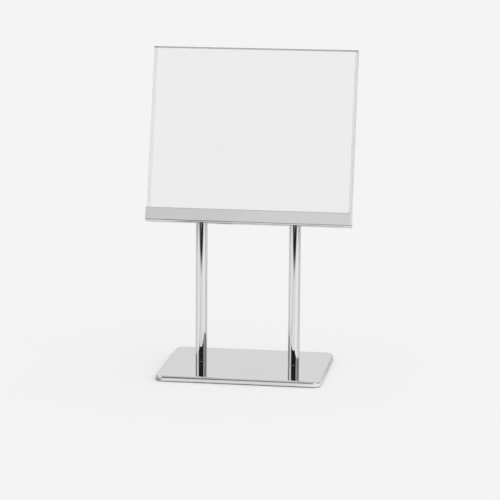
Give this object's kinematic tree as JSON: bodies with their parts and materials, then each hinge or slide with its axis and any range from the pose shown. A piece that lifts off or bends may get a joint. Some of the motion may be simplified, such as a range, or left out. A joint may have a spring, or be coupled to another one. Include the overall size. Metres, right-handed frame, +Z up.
{
  "type": "place card holder",
  "caption": "Free-standing place card holder: a clear acrylic pocket leaning back in a chrome channel, carried on slim chrome posts above a flat base plate with rounded corners.",
  "frame": {"origin": "on the table, under the middle of the base plate", "axes": "+X to the right as seen from the front, +Y to the back, +Z up"},
  "size_m": [0.1786, 0.111, 0.2751],
  "materials": {
    "chrome": "polished chrome plate",
    "acrylic": "clear polished acrylic",
    "screw_steel": "zinc-plated steel",
    "pad": "clear soft polyurethane"
  },
  "bodies": {
    "stand": {"base_plate": "chrome", "foot_pad_front_left": "pad", "foot_pad_front_right": "pad", "foot_pad_back_left": "pad", "foot_pad_back_right": "pad", "left_post": "chrome", "right_post": "chrome", "base_screws": "screw_steel", "channel": "chrome", "channel_screws": "screw_steel"},
    "pocket": {"front_sheet": "acrylic", "back_sheet": "acrylic", "left_strip": "acrylic", "right_strip": "acrylic", "bottom_strip": "acrylic"}
  },
  "joints": [
    {"name": "pocket_lift", "type": "slide", "parent": "stand", "child": "pocket", "axis": [0, 0.2588, 0.9659], "range_m": [0, 0.03]}
  ]
}
